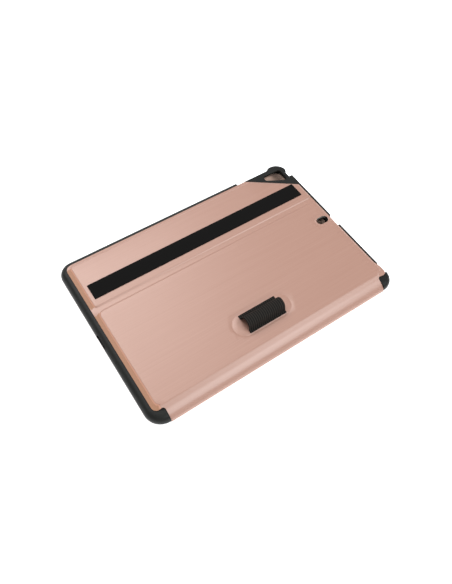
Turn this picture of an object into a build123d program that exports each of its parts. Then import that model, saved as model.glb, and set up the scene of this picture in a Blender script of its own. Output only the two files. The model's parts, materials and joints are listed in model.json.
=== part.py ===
from build123d import *
import math
import os

os.makedirs("parts", exist_ok=True)

# A folio case for a 10.2-inch class tablet, closed and lying on its front cover.
# Everything is drawn from the ridge, the fold between the back panel and the spine:
# x from the middle of the folio, y from the ridge, z from the back panel's top face.
# At the end each piece moves to the object's own frame, on the floor and centred.

# Driving dimensions, in millimetres and degrees.
TABLET_LENGTH = 250.6
TABLET_DEPTH = 174.1
TABLET_THICKNESS = 7.5
TABLET_PLAY = 0.2
TABLET_EDGE_RADIUS = 6.0
TABLET_CORNER_RADIUS = 10.0

WALL_SIDE = 2.6
WALL_NEAR = 2.5
LIP_THICKNESS = 1.2
LIP_OVERLAP = 1.6
PLATE_THICKNESS = 1.4
TRAY_EDGE_RADIUS = 6.0
TRAY_BOTTOM_RADIUS = 4.0
RAIL_EDGE_RADIUS = 3.0
RAIL_DEPTH = 12.0
TRAY_CORNER_RADIUS = 13.5
TRAY_NEAR_LEFT_RADIUS = 15.5
TRAY_NEAR_Y = -13.0
TRAY_CENTRE_X = -1.2

# A thicker round corner on the bumper, beside the headphone socket.
PAD_CENTRE = (115.3, 0.05)
PAD_RADIUS = 13.0
PAD_EDGE_RADIUS = 5.0

SKIN = 0.6
BACK_BOARD = 1.4
ADHESIVE = 0.2
LINING = 0.6
FRONT_BOARD = 1.6
COVER_GAP = 0.3
MOVING_GAP = 0.3

FOLIO_HALF_LENGTH = 122.3
FOLIO_FAR_Y = 160.0
BORDER_WIDTH = 4.0
GROOVE_NEAR_Y = 101.5
GROOVE_FAR_Y = 107.0
FLAP_HINGE_Y = 104.3
EAR_DEPTH = 2.4
EAR_GAP = 0.5
EAR_RADIUS = 5.0
RIGHT_EAR_X = 124.6
RIGHT_EAR_Y = (6.0, 13.0)
RIGHT_EAR_DEPTH = 3.0
SPINE_LEFT_X = -112.9
SPINE_RIGHT_X = 113.4

FOLD_Y = -10.9
FRONT_CENTRE_X = TRAY_CENTRE_X
FRONT_HALF_LENGTH = 126.0
FRONT_FAR_Y = 164.5
FRONT_CORNER_RADIUS = 12.0

# Levels, stacked from the floor up and then named from the panel's top face down.
FRONT_THICKNESS = SKIN + FRONT_BOARD + LINING
BAY_HEIGHT = TABLET_THICKNESS + TABLET_PLAY
PANEL_STACK = ADHESIVE + BACK_BOARD + SKIN
CASE_HEIGHT = FRONT_THICKNESS + COVER_GAP + LIP_THICKNESS + BAY_HEIGHT + PLATE_THICKNESS + PANEL_STACK

TRAY_TOP = -PANEL_STACK
PLATE_BOTTOM = TRAY_TOP - PLATE_THICKNESS
LIP_TOP = PLATE_BOTTOM - BAY_HEIGHT
LIP_BOTTOM = LIP_TOP - LIP_THICKNESS
FLOOR = -CASE_HEIGHT
FRONT_TOP = FLOOR + FRONT_THICKNESS
FOLD_Z = FLOOR + SKIN

# Plan of the tray, from the tablet outwards.
BAY_LENGTH = TABLET_LENGTH + TABLET_PLAY
BAY_DEPTH = TABLET_DEPTH + TABLET_PLAY
BAY_X = (TRAY_CENTRE_X - BAY_LENGTH / 2, TRAY_CENTRE_X + BAY_LENGTH / 2)
BAY_Y = (TRAY_NEAR_Y + WALL_NEAR, TRAY_NEAR_Y + WALL_NEAR + BAY_DEPTH)
TRAY_X = (BAY_X[0] - WALL_SIDE, BAY_X[1] + WALL_SIDE)
TRAY_Y = (TRAY_NEAR_Y, BAY_Y[1] + WALL_NEAR)

# The camera corner, where the flap is cut off along a slanting line.
CAMERA_LINE_START = (121.5, 128.6)
CAMERA_LINE_END = (80.2, 157.8)
CAMERA_GAP = 0.7
CAMERA_SETBACK = 0.8
GUARD_TOP = -1.8
WINDOW_POINTS = [(97.0, 149.8), (118.0, 139.0), (118.0, 155.8), (97.0, 155.8)]
WINDOW_RADIUS = 2.9

# The microphone slot and the parts on the outside.
MIC_CENTRE = (112.7, 77.8)
MIC_LENGTH = 12.6
MIC_WIDTH = 8.2

STRAP_X = (-114.2, 115.2)
STRAP_Y = (114.5, 130.9)
STRAP_THICKNESS = 0.9
STRAP_TAB_LENGTH = 9.0

LOOP_X = (-18.6, 20.0)
LOOP_Y = (13.3, 32.9)
LOOP_FABRIC = 1.1
PEN_Y = 22.0
PEN_Z = 4.8
PEN_RADIUS = 4.7
LOOP_FOOT_NEAR = 2.0
LOOP_FOOT_FAR = 3.4
PATCH_X = (-29.0, 30.0)
PATCH_Y = (12.4, 34.0)
PATCH_THICKNESS = 0.3

# Cuts in the tray's walls: limits along the wall at a cut's floor. All open towards the back,
# with sloping ends that widen the cut by a run at each end.
VOLUME_NOTCH_X = (72.0, 110.0)
POWER_NOTCH_Y = (146.0, 153.5)
TOP_MIC_NOTCH_Y = (69.0, 79.0)
HEADPHONE_NOTCH_Y = (2.0, 9.0)
NOTCH_FLOOR_Z = -10.0
NOTCH_TOP_Z = 2.0
NOTCH_RUN = 5.0
NOTCH_INSET = 4.6
CAMERA_NOTCH_INSET = 5.6
PORT_Y = (68.5, 85.5)
PORT_Z = (-9.7, -4.5)

MAGNET_RADIUS = 5.0
FLAP_MAGNET_X = (-85.0, -30.0, 30.0, 72.0)
FLAP_MAGNET_Y = 146.0
KEEPER_SIZE = 14.0
KEEPER_THICKNESS = 0.5
COVER_MAGNET_X = (-104.0, -64.0, 64.0, 104.0)
COVER_MAGNET_Y = 154.0
COVER_MAGNET_LENGTH = 20.0
COVER_MAGNET_WIDTH = 6.0
COVER_MAGNET_THICKNESS = 1.2


def block(x_range, y_range, z_range, radius=0.0):
    """A flat block between three pairs of limits, with its upright corners rounded."""
    length = x_range[1] - x_range[0]
    depth = y_range[1] - y_range[0]
    middle = Pos(sum(x_range) / 2, sum(y_range) / 2, z_range[0])
    if radius:
        plan = RectangleRounded(length, depth, radius)
    else:
        plan = Rectangle(length, depth)
    return extrude(middle * plan, z_range[1] - z_range[0])


def prism(points, z_range, radius=0.0):
    """A flat solid with a polygon for its plan, and that plan's corners rounded."""
    plan = make_face(Polyline(*points, close=True))
    if radius:
        plan = fillet(plan.vertices(), radius)
    return extrude(Pos(0, 0, z_range[0]) * plan, z_range[1] - z_range[0], dir=(0, 0, 1))


def top_edges(solid):
    return solid.faces().sort_by(Axis.Z)[-1].edges()


def bottom_edges(solid):
    return solid.faces().sort_by(Axis.Z)[0].edges()


def along_x(points, x_range):
    """A bar along x whose section is a closed outline of (y, z) points."""
    section = make_face(Polyline(*[(x_range[0], y, z) for y, z in points], close=True))
    return extrude(section, x_range[1] - x_range[0], dir=(1, 0, 0))


def camera_side(clearance):
    """Everything beyond the slanting line of the camera corner, moved out by a clearance."""
    start = Vector(*CAMERA_LINE_START)
    end = Vector(*CAMERA_LINE_END)
    run = (end - start).normalized()
    outward = Vector(-run.Y, run.X) * -1
    reach = 60
    first = start + outward * clearance - run * reach
    last = end + outward * clearance + run * reach
    corners = [first, last, last + outward * reach, first + outward * reach]
    return prism([(p.X, p.Y) for p in corners], (FLOOR, 5))


def slot_through(centre, length, width, z_range):
    x_range = (centre[0] - length / 2, centre[0] + length / 2)
    y_range = (centre[1] - width / 2, centre[1] + width / 2)
    return block(x_range, y_range, z_range, width / 2 - 0.01)


MIC_CUT = slot_through(MIC_CENTRE, MIC_LENGTH, MIC_WIDTH, (FLOOR + FRONT_THICKNESS + 1, 2))
WINDOW_CUT = prism(WINDOW_POINTS, (LIP_TOP + 3, 2), WINDOW_RADIUS)


# The spine's section, as (y, z) points down its outer face, from the ridge to the bottom fold.
SPINE_FACE = [
    (-0.5, -0.1),
    (-5.6, -1.7),
    (-9.6, -3.9),
    (-12.5, -7.0),
    (-13.5, -9.0),
    (-12.9, -11.2),
    (-12.1, -13.1),
    (-11.65, -13.8),
]
SPINE_SLOPE = slice(0, 4)
SPINE_WALL = slice(3, 6)
SPINE_BOARD = 0.55
SPINE_LINING = 0.3
TRAY_WALL_BEHIND_SPINE = -11.6
TRAY_CORNER_CUT = 1.2

# Where each piece goes when it is written: the floor's middle under the closed case.
SPINE_OUTERMOST_Y = min(y for y, z in SPINE_FACE)
OUTERMOST_X = PAD_CENTRE[0] + PAD_RADIUS
ORIGIN_SHIFT = Pos(-(TRAY_X[0] + OUTERMOST_X) / 2, -(SPINE_OUTERMOST_Y + TRAY_Y[1]) / 2, CASE_HEIGHT)


def inside(points, depth):
    """The points moved towards the tray by a depth, square to the line through their neighbours."""
    moved = []
    for index, (y, z) in enumerate(points):
        before = points[max(index - 1, 0)]
        after = points[min(index + 1, len(points) - 1)]
        run = math.hypot(after[0] - before[0], after[1] - before[1])
        across_y = -(after[1] - before[1]) / run
        across_z = (after[0] - before[0]) / run
        moved.append((y + across_y * depth, z + across_z * depth))
    return moved


def spine_layer(stretch, outer_depth, inner_depth, x_range):
    """One layer of the spine between two depths, over a stretch of its points."""
    outer = inside(SPINE_FACE, outer_depth)[stretch]
    inner = inside(SPINE_FACE, inner_depth)[stretch]
    return along_x(outer + inner[::-1], x_range)


def tray_block(z_range):
    """The tray's outline as a flat block, with its rounder near left corner."""
    corners = [(x, y) for x, y in zip(TRAY_X + TRAY_X[::-1], (TRAY_Y[0],) * 2 + (TRAY_Y[1],) * 2)]
    plan = make_face(Polyline(*corners, close=True))
    near_left = [v for v in plan.vertices() if v.X < 0 and v.Y < 0]
    plan = fillet(near_left, TRAY_NEAR_LEFT_RADIUS)
    others = [v for v in plan.vertices() if (v.X > TRAY_X[1] - 1) or (v.X < 0 and v.Y > TRAY_Y[1] - 1)]
    plan = fillet(others, TRAY_CORNER_RADIUS)
    return extrude(Pos(0, 0, z_range[0]) * plan, z_range[1] - z_range[0], dir=(0, 0, 1))


def right_rail():
    """The upper part of the right wall, less rounded than the rest, between its two end cuts."""
    rail = fillet(top_edges(tray_block((LIP_BOTTOM, TRAY_TOP))), RAIL_EDGE_RADIUS)
    y_range = (sum(HEADPHONE_NOTCH_Y) / 2, sum(POWER_NOTCH_Y) / 2)
    bottom = LIP_BOTTOM + TRAY_BOTTOM_RADIUS + 0.1
    return rail & block((TRAY_X[1] - RAIL_DEPTH, TRAY_X[1] + 1), y_range, (bottom, 0))


def corner_pad():
    pad = Pos(*PAD_CENTRE, LIP_BOTTOM) * extrude(Circle(PAD_RADIUS), TRAY_TOP - LIP_BOTTOM)
    pad = fillet(top_edges(pad), PAD_EDGE_RADIUS)
    return fillet(bottom_edges(pad), TRAY_BOTTOM_RADIUS)


def tray_shape():
    """The bumper's outer form: a pan with rounded edges, its rail, the camera corner and the pad."""
    pan = tray_block((LIP_BOTTOM, TRAY_TOP))
    pan = fillet(top_edges(pan), TRAY_EDGE_RADIUS)
    pan = fillet(bottom_edges(pan), TRAY_BOTTOM_RADIUS)
    raised = block(TRAY_X, TRAY_Y, (LIP_BOTTOM + TRAY_BOTTOM_RADIUS, GUARD_TOP), TRAY_CORNER_RADIUS)
    raised = fillet(top_edges(raised), TRAY_EDGE_RADIUS)
    return pan + right_rail() + (raised & camera_side(CAMERA_GAP)) + corner_pad()


def bay_shape():
    """The room for the tablet, with the tablet's own rounded back edge."""
    room = block(BAY_X, BAY_Y, (LIP_TOP, PLATE_BOTTOM), TABLET_CORNER_RADIUS)
    return fillet(top_edges(room), TABLET_EDGE_RADIUS)


def lip_opening():
    x_range = (BAY_X[0] + LIP_OVERLAP, BAY_X[1] - LIP_OVERLAP)
    y_range = (BAY_Y[0] + LIP_OVERLAP, BAY_Y[1] - LIP_OVERLAP)
    return block(x_range, y_range, (LIP_BOTTOM - 1, LIP_TOP + 1), TABLET_CORNER_RADIUS - LIP_OVERLAP)


def plate_shape():
    """The hard plate moulded into the bumper, short of its rounded edges and the camera corner."""
    inset = 8.0
    x_range = (TRAY_X[0] + inset, TRAY_X[1] - inset)
    y_range = (-1.5, TRAY_Y[1] - inset)
    plate = block(x_range, y_range, (PLATE_BOTTOM, TRAY_TOP), 6)
    return plate - camera_side(CAMERA_GAP)


def notch_outline(limits):
    """A cut's outline as (distance along the wall, z), widening from its floor to its opening."""
    return [
        (limits[0], NOTCH_FLOOR_Z),
        (limits[1], NOTCH_FLOOR_Z),
        (limits[1] + NOTCH_RUN, NOTCH_TOP_Z),
        (limits[0] - NOTCH_RUN, NOTCH_TOP_Z),
    ]


def side_notch(limits, inset):
    return along_x(notch_outline(limits), (TRAY_X[1] - inset, TRAY_X[1] + 5))


def far_notch(limits, inset):
    far_y = TRAY_Y[1] + 5
    outline = make_face(Polyline(*[(x, far_y, z) for x, z in notch_outline(limits)], close=True))
    return extrude(outline, inset + 5, dir=(0, -1, 0))


def wall_notches():
    """The cuts for the buttons, the microphones and the headphone socket."""
    return (
        far_notch(VOLUME_NOTCH_X, CAMERA_NOTCH_INSET)
        + side_notch(POWER_NOTCH_Y, CAMERA_NOTCH_INSET)
        + side_notch(TOP_MIC_NOTCH_Y, NOTCH_INSET)
        + side_notch(HEADPHONE_NOTCH_Y, NOTCH_INSET)
    )


def port_cut():
    """The rounded window for the charging plug, through the left wall."""
    length = PORT_Y[1] - PORT_Y[0]
    height = PORT_Z[1] - PORT_Z[0]
    left = Plane(origin=(TRAY_X[0] - 2, sum(PORT_Y) / 2, sum(PORT_Z) / 2), x_dir=(0, 1, 0), z_dir=(1, 0, 0))
    return extrude(left * RectangleRounded(length, height, height / 2 - 0.01), 8)


def bumper_frame():
    frame = tray_shape() - bay_shape() - lip_opening() - plate_shape()
    slope = inside(SPINE_FACE, SKIN + SPINE_LINING + MOVING_GAP)[1:3]
    wall_y = TRAY_WALL_BEHIND_SPINE
    wall = [
        (wall_y, -8.6),
        (wall_y, LIP_BOTTOM + TRAY_CORNER_CUT),
        (wall_y + TRAY_CORNER_CUT, LIP_BOTTOM),
        (wall_y + TRAY_CORNER_CUT, LIP_BOTTOM - 1),
    ]
    outside = [(-20, LIP_BOTTOM - 1), (-20, 0.5), (0.4, 0.5)]
    frame -= along_x(slope + wall + outside, (SPINE_LEFT_X - 0.4, SPINE_RIGHT_X + 0.4))
    return frame - WINDOW_CUT - wall_notches() - port_cut()


def flap_magnet_places():
    return [Pos(x, FLAP_MAGNET_Y, 0) for x in FLAP_MAGNET_X]


def keeper_plates():
    """Thin steel squares let into the plate, which the flap's magnets hold on to."""
    plates = []
    for place in flap_magnet_places():
        square = RectangleRounded(KEEPER_SIZE, KEEPER_SIZE, 2)
        plates.append(place * Pos(0, 0, TRAY_TOP - KEEPER_THICKNESS) * extrude(square, KEEPER_THICKNESS))
    return Compound(children=plates)


def tray_lining():
    inset = 12.0
    x_range = (TRAY_X[0] + inset, TRAY_X[1] - inset)
    y_range = (1.0, TRAY_Y[1] - inset)
    sheet = block(x_range, y_range, (PLATE_BOTTOM, PLATE_BOTTOM + 0.3), 4)
    return sheet - camera_side(CAMERA_GAP - 4) - MIC_CUT


def back_plate():
    return plate_shape() - MIC_CUT - tray_lining() - keeper_plates()


def camera_line_y(x, inset):
    """The slanting cut's y at an x, moved in from it by a distance."""
    slope = (CAMERA_LINE_END[1] - CAMERA_LINE_START[1]) / (CAMERA_LINE_END[0] - CAMERA_LINE_START[0])
    drop = inset * math.hypot(1, slope)
    return CAMERA_LINE_START[1] + (x - CAMERA_LINE_START[0]) * slope - drop


def camera_line_x(y, inset):
    slope = (CAMERA_LINE_END[1] - CAMERA_LINE_START[1]) / (CAMERA_LINE_END[0] - CAMERA_LINE_START[0])
    return CAMERA_LINE_START[0] + (y - camera_line_y(CAMERA_LINE_START[0], inset)) / slope


PLATEAU_X = (-FOLIO_HALF_LENGTH + BORDER_WIDTH, FOLIO_HALF_LENGTH - BORDER_WIDTH + 0.7)
BORDER_TOP = -1.2
FLAP_FAR_Y = FOLIO_FAR_Y - BORDER_WIDTH + 1.0
FLAP_LINING = (-2.1, -1.7)


def panel_plateau(inset, z_range, radius):
    x_range = (PLATEAU_X[0] + inset, PLATEAU_X[1] - inset)
    return block(x_range, (inset, GROOVE_NEAR_Y - inset), z_range, radius)


def panel_border():
    """The thin edge of the panel's skin, with a rounded ear at each near corner, wider at the right."""
    half = FOLIO_HALF_LENGTH
    far_y = FLAP_HINGE_Y - MOVING_GAP - 0.1
    spine_left = SPINE_LEFT_X - EAR_GAP
    spine_right = SPINE_RIGHT_X + EAR_GAP
    plan = make_face(Polyline(
        (-half, far_y),
        (-half, -EAR_DEPTH),
        (spine_left, -EAR_DEPTH),
        (spine_left, 0),
        (spine_right, 0),
        (spine_right, -RIGHT_EAR_DEPTH),
        (RIGHT_EAR_X, -RIGHT_EAR_DEPTH),
        (RIGHT_EAR_X, RIGHT_EAR_Y[0]),
        (half, RIGHT_EAR_Y[1]),
        (half, far_y),
        close=True,
    ))
    ears = [v for v in plan.vertices() if v.Y < -EAR_DEPTH + 0.1 and abs(v.X) > half - 0.1]
    plan = fillet(ears, EAR_RADIUS)
    return extrude(Pos(0, 0, TRAY_TOP) * plan, BORDER_TOP - TRAY_TOP, dir=(0, 0, 1))


def skin_over(border, plateau, board):
    raised = fillet(top_edges(plateau), 1.0)
    return border + raised - board


def loop_patch():
    """The oval stiffener under the skin that the pen loop is sewn to."""
    width = PATCH_Y[1] - PATCH_Y[0]
    return block(PATCH_X, PATCH_Y, (-SKIN - PATCH_THICKNESS, -SKIN), width / 2 - 0.01)


def back_board_zone():
    return panel_plateau(SKIN, (TRAY_TOP, -SKIN), 4.4)


def back_adhesive():
    return panel_plateau(SKIN, (TRAY_TOP, TRAY_TOP + ADHESIVE), 4.4) - MIC_CUT


def back_board():
    board = panel_plateau(SKIN, (TRAY_TOP + ADHESIVE, -SKIN), 4.4)
    return board - MIC_CUT - loop_patch()


def back_skin():
    plateau = panel_plateau(0, (TRAY_TOP, 0), 5)
    return skin_over(panel_border(), plateau, back_board_zone()) - MIC_CUT - pen_loop()


def tangent_point(foot, centre, radius, turn):
    """Where a line from the foot touches the circle, on the side given by turn, 1 or -1."""
    across = centre[0] - foot[0]
    up = centre[1] - foot[1]
    distance = math.hypot(across, up)
    angle = math.atan2(up, across) + turn * math.asin(radius / distance)
    length = math.sqrt(distance ** 2 - radius ** 2)
    return (foot[0] + length * math.cos(angle), foot[1] + length * math.sin(angle))


def pen_loop():
    """A band of thick elastic: two sewn feet and a tent between them, tight over a round pen."""
    centre = (PEN_Y, PEN_Z)
    near_foot = LOOP_Y[0] + LOOP_FOOT_NEAR
    far_foot = LOOP_Y[1] - LOOP_FOOT_FAR
    outer_near = (near_foot, LOOP_FABRIC)
    outer_far = (far_foot, LOOP_FABRIC)
    inner_near = (near_foot + LOOP_FABRIC, 0)
    inner_far = (far_foot - LOOP_FABRIC, 0)
    outer_radius = PEN_RADIUS + LOOP_FABRIC

    def at(point):
        return (LOOP_X[0], point[0], point[1])

    over = [
        tangent_point(outer_near, centre, outer_radius, 1),
        (PEN_Y, PEN_Z + outer_radius),
        tangent_point(outer_far, centre, outer_radius, -1),
    ]
    under = [
        tangent_point(inner_far, centre, PEN_RADIUS, -1),
        (PEN_Y, PEN_Z + PEN_RADIUS),
        tangent_point(inner_near, centre, PEN_RADIUS, 1),
    ]
    near_leg = [
        (LOOP_Y[0] + LOOP_FABRIC, 0),
        (LOOP_Y[0] + LOOP_FABRIC, -SKIN),
        (LOOP_Y[0], -SKIN),
        (LOOP_Y[0], LOOP_FABRIC),
    ]
    far_leg = [
        (LOOP_Y[1], LOOP_FABRIC),
        (LOOP_Y[1], -SKIN),
        (LOOP_Y[1] - LOOP_FABRIC, -SKIN),
        (LOOP_Y[1] - LOOP_FABRIC, 0),
    ]
    outline = Wire([
        *Polyline(*[at(p) for p in [under[2], inner_near] + near_leg + [outer_near, over[0]]]).edges(),
        ThreePointArc(*[at(p) for p in over]),
        *Polyline(*[at(p) for p in [over[2], outer_far] + far_leg + [inner_far, under[0]]]).edges(),
        ThreePointArc(*[at(p) for p in under]),
    ])
    return extrude(make_face(outline.edges()), LOOP_X[1] - LOOP_X[0], dir=(1, 0, 0))


def flap_plan(inset, near_y, far_y, half_length, z_range, radius):
    """A flat solid over the flap, with its camera corner cut off along the slanting line."""
    right_x = half_length[1] - inset
    points = [
        (half_length[0] + inset, near_y),
        (right_x, near_y),
        (right_x, camera_line_y(right_x, inset)),
        (camera_line_x(far_y, inset), far_y),
        (half_length[0] + inset, far_y),
    ]
    plan = make_face(Polyline(*points, close=True))
    far_corners = [v for v in plan.vertices() if v.Y > near_y + 1]
    plan = fillet(far_corners, radius)
    return extrude(Pos(0, 0, z_range[0]) * plan, z_range[1] - z_range[0], dir=(0, 0, 1))


def flap_border_plan(z_range):
    half = (-FOLIO_HALF_LENGTH, FOLIO_HALF_LENGTH)
    near_y = FLAP_HINGE_Y + MOVING_GAP + 0.1
    return flap_plan(0, near_y, FOLIO_FAR_Y, half, z_range, 3.0)


def flap_plateau(inset, z_range):
    setback = CAMERA_SETBACK + inset
    half = (PLATEAU_X[0] - CAMERA_SETBACK, PLATEAU_X[1] + CAMERA_SETBACK)
    return flap_plan(setback, GROOVE_FAR_Y + inset, FLAP_FAR_Y - inset, half, z_range, 2.4)


def flap_lining():
    return flap_border_plan(FLAP_LINING)


def flap_board_zone():
    return flap_plateau(SKIN, (FLAP_LINING[1], -SKIN))


def flap_strap():
    """A flat elastic strap whose ends go down through the skin and are glued under it."""
    fabric = STRAP_THICKNESS
    band = block(STRAP_X, STRAP_Y, (0, fabric))
    tab_z = (-SKIN - 0.6, -SKIN)
    left_end = block((STRAP_X[0], STRAP_X[0] + fabric), STRAP_Y, (tab_z[0], 0))
    right_end = block((STRAP_X[1] - fabric, STRAP_X[1]), STRAP_Y, (tab_z[0], 0))
    left_tab = block((STRAP_X[0], STRAP_X[0] + STRAP_TAB_LENGTH), STRAP_Y, tab_z)
    right_tab = block((STRAP_X[1] - STRAP_TAB_LENGTH, STRAP_X[1]), STRAP_Y, tab_z)
    return band + left_end + right_end + left_tab + right_tab


def flap_magnets():
    height = -SKIN - FLAP_LINING[1]
    discs = []
    for place in flap_magnet_places():
        discs.append(place * Pos(0, 0, FLAP_LINING[1]) * extrude(Circle(MAGNET_RADIUS), height))
    return Compound(children=discs)


def flap_board():
    return flap_board_zone() - flap_strap() - flap_magnets()


def flap_skin():
    border = flap_border_plan((FLAP_LINING[1], BORDER_TOP))
    plateau = flap_plateau(0, (FLAP_LINING[1], 0))
    return skin_over(border, plateau, flap_board_zone()) - flap_strap()


def spine_skin():
    return spine_layer(slice(None), 0, SKIN, (SPINE_LEFT_X, SPINE_RIGHT_X))


def spine_board():
    x_range = (SPINE_LEFT_X + 2, SPINE_RIGHT_X - 2)
    return spine_layer(SPINE_WALL, SKIN, SKIN + SPINE_BOARD, x_range)


def spine_lining():
    x_range = (SPINE_LEFT_X + 1, SPINE_RIGHT_X - 1)
    return spine_layer(SPINE_SLOPE, SKIN, SKIN + SPINE_LINING, x_range)


def fold_roll(z_range):
    """Half of the rolled edge round the bottom fold: below the axis is skin, above it is lining."""
    axis = Plane(origin=(SPINE_LEFT_X, FOLD_Y, FOLD_Z), x_dir=(0, 1, 0), z_dir=(1, 0, 0))
    roll = extrude(axis * Circle(SKIN), SPINE_RIGHT_X - SPINE_LEFT_X)
    return roll & block((SPINE_LEFT_X, SPINE_RIGHT_X), (FOLD_Y - SKIN, FOLD_Y), z_range)


FRONT_X = (FRONT_CENTRE_X - FRONT_HALF_LENGTH, FRONT_CENTRE_X + FRONT_HALF_LENGTH)
FRONT_Y = (-7.0, FRONT_FAR_Y)
FOLD_STRIP_END = FRONT_Y[0] + 1.0


def front_plan(inset, z_range):
    x_range = (FRONT_X[0] + inset, FRONT_X[1] - inset)
    y_range = (FRONT_Y[0] + inset, FRONT_Y[1] - inset)
    return block(x_range, y_range, z_range, FRONT_CORNER_RADIUS - inset)


def front_board_zone():
    return front_plan(SKIN, (FLOOR + SKIN, FRONT_TOP - LINING))


def cover_magnets():
    """Flat bar magnets let into the top of the front board, near the far edge."""
    bars = []
    top = FRONT_TOP - LINING
    for x in COVER_MAGNET_X:
        x_range = (x - COVER_MAGNET_LENGTH / 2, x + COVER_MAGNET_LENGTH / 2)
        y_range = (COVER_MAGNET_Y - COVER_MAGNET_WIDTH / 2, COVER_MAGNET_Y + COVER_MAGNET_WIDTH / 2)
        bars.append(block(x_range, y_range, (top - COVER_MAGNET_THICKNESS, top), 1))
    return Compound(children=bars)


def front_board():
    return front_board_zone() - cover_magnets()


def front_skin():
    tray = front_plan(0, (FLOOR, FRONT_TOP - LINING)) - front_board_zone()
    strip = block((SPINE_LEFT_X, SPINE_RIGHT_X), (FOLD_Y, FOLD_STRIP_END), (FLOOR, FOLD_Z))
    return tray + strip + fold_roll((FLOOR, FOLD_Z))


def front_lining():
    sheet = front_plan(0.4, (FRONT_TOP - LINING, FRONT_TOP))
    x_range = (SPINE_LEFT_X + 1, SPINE_RIGHT_X - 1)
    strip = block(x_range, (FOLD_Y, FRONT_Y[0]), (FOLD_Z, FOLD_Z + LINING))
    riser = block(x_range, (FRONT_Y[0] - LINING, FRONT_Y[0]), (FOLD_Z, FRONT_TOP))
    join = block(x_range, (FRONT_Y[0] - LINING, FOLD_STRIP_END), (FRONT_TOP - LINING, FRONT_TOP))
    roll = fold_roll((FOLD_Z, FOLD_Z + SKIN)) & block(x_range, (FOLD_Y - 1, 0), (FLOOR, 0))
    return sheet + strip + riser + join + roll


PIECES = [
    bumper_frame,
    back_plate,
    tray_lining,
    keeper_plates,
    back_adhesive,
    back_board,
    back_skin,
    loop_patch,
    pen_loop,
    flap_board,
    flap_skin,
    flap_lining,
    flap_magnets,
    flap_strap,
    spine_skin,
    spine_board,
    spine_lining,
    front_skin,
    front_board,
    front_lining,
    cover_magnets,
]

for piece in PIECES:
    export_step(ORIGIN_SHIFT * piece(), f"parts/{piece.__name__}.step")
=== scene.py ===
import json
import math
import bpy
import bmesh
from mathutils import Matrix, Vector, geometry


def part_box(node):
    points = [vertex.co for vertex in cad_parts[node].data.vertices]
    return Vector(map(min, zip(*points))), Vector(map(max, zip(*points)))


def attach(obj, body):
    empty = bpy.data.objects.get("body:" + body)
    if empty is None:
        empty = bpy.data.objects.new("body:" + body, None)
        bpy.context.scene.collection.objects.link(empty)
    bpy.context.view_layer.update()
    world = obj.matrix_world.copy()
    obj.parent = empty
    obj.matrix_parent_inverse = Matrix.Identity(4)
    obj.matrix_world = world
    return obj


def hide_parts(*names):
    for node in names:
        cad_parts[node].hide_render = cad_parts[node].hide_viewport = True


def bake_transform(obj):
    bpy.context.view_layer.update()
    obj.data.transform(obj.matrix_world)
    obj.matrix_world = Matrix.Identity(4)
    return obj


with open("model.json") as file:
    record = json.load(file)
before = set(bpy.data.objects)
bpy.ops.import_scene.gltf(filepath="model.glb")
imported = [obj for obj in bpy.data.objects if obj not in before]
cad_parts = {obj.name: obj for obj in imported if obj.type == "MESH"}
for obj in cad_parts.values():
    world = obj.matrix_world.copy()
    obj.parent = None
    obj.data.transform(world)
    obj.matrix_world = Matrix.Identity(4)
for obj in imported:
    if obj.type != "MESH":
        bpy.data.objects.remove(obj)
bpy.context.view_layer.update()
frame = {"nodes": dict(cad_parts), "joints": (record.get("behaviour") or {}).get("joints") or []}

# Every length below is in millimetres, measured from the ridge (the fold between the back
# panel and the spine): x from the folio's middle, y from the ridge, z from the panel's top.
# Shaders, the floor and the lights use metres instead.
MM = 0.001
joints = {joint["name"]: joint for joint in frame["joints"]}
ridge = joints["spine_fold"]["pos_m"]
skin_low, skin_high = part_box("flap_skin")
ORIGIN = Vector(((skin_low.x + skin_high.x) / 2, ridge[1], skin_high.z))


def at(x, y, z):
    """A point given from the ridge, in the row frame and in metres."""
    return ORIGIN + Vector((x, y, z)) * MM


def from_ridge(point):
    """The reverse of at."""
    return (Vector(point) - ORIGIN) / MM


def box_from_ridge(node):
    low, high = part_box(node)
    return from_ridge(low), from_ridge(high)


FLOOR = -ORIGIN.z / MM
FOLD = from_ridge(joints["cover_open"]["pos_m"])
SKIN = 0.6

# ---------------------------------------------------------------- flat shapes

SHARP_RADIUS = 0.08


def rounded_loop(corners, offset=0.0, step=5.0, arc_steps=6):
    """A closed outline from (x, y, radius) corners, anticlockwise, moved inward by an offset."""
    points = []
    count = len(corners)
    for index in range(count):
        before = Vector(corners[index - 1][:2])
        here = Vector(corners[index][:2])
        after = Vector(corners[(index + 1) % count][:2])
        radius = corners[index][2]
        come = (here - before).normalized()
        leave = (after - here).normalized()
        turn = come.x * leave.y - come.y * leave.x
        half = math.acos(max(-1, min(1, come.dot(leave)))) / 2
        side = 1 if turn > 0 else -1
        inward = Vector((-come.y, come.x))
        bisector = (inward + Vector((-leave.y, leave.x))).normalized()
        grown = radius - side * offset
        if grown < SHARP_RADIUS:
            points.append(here + bisector * offset / math.cos(half))
            continue
        centre = here + bisector * side * radius / math.cos(half)
        start = math.atan2(-inward.y * side, -inward.x * side)
        for arc in range(arc_steps + 1):
            angle = start + side * 2 * half * arc / arc_steps
            points.append(centre + Vector((math.cos(angle), math.sin(angle))) * grown)
    loop = []
    for index, point in enumerate(points):
        following = points[(index + 1) % len(points)]
        extra = int((following - point).length / step)
        loop.extend(point.lerp(following, part / (extra + 1)) for part in range(extra + 1))
    return loop


def rectangle(x0, x1, y0, y1, radius):
    return [(x0, y0, radius), (x1, y0, radius), (x1, y1, radius), (x0, y1, radius)]


def rectangle_distance(x, y, x0, x1, y0, y1, radius):
    """Signed distance to a rounded rectangle, negative inside."""
    across = abs(x - (x0 + x1) / 2) - (x1 - x0) / 2 + radius
    along = abs(y - (y0 + y1) / 2) - (y1 - y0) / 2 + radius
    return math.hypot(max(across, 0), max(along, 0)) + min(max(across, along), 0) - radius


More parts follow.
